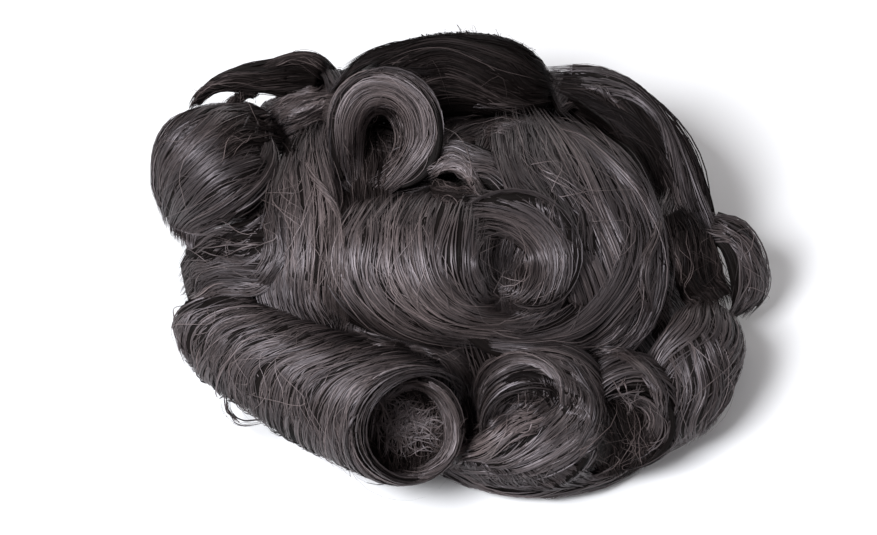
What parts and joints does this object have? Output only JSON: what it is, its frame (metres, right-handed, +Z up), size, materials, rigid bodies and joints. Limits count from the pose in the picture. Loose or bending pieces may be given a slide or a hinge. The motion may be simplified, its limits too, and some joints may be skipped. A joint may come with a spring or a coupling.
{
  "type": "curled toupee hairpiece",
  "caption": "Short dark toupee: a thin domed base under a bed of hair, with rolled curls and flat waves all over it.",
  "frame": {"origin": "middle of the base's rim, on the surface that the rim rests on", "axes": "+X along the piece's longest side, +Z up out of the crown, and the front hairline on the -Y side"},
  "size_m": [0.2335, 0.1953, 0.0887],
  "materials": {
    "hair": "glossy dark hair in combed strands",
    "base_net": "matt fine net"
  },
  "bodies": {
    "root": {"base_cap": "base_net", "hair_bed": "hair", "centre_swirl": "hair", "crown_ring_curl": "hair", "front_left_roll": "hair", "front_centre_curl": "hair", "front_right_curl": "hair", "centre_roll": "hair", "left_side_roll": "hair", "back_roll": "hair", "right_front_roll": "hair", "back_left_roll": "hair", "back_right_roll": "hair", "centre_right_wave": "hair", "right_ribbon_lock": "hair", "right_side_lock": "hair", "left_back_lock": "hair", "left_band_lock": "hair", "left_centre_lock": "hair", "left_front_lock": "hair", "right_under_lock": "hair", "crown_arch_lock": "hair", "right_inner_lock": "hair", "front_under_lock": "hair"}
  },
  "joints": []
}
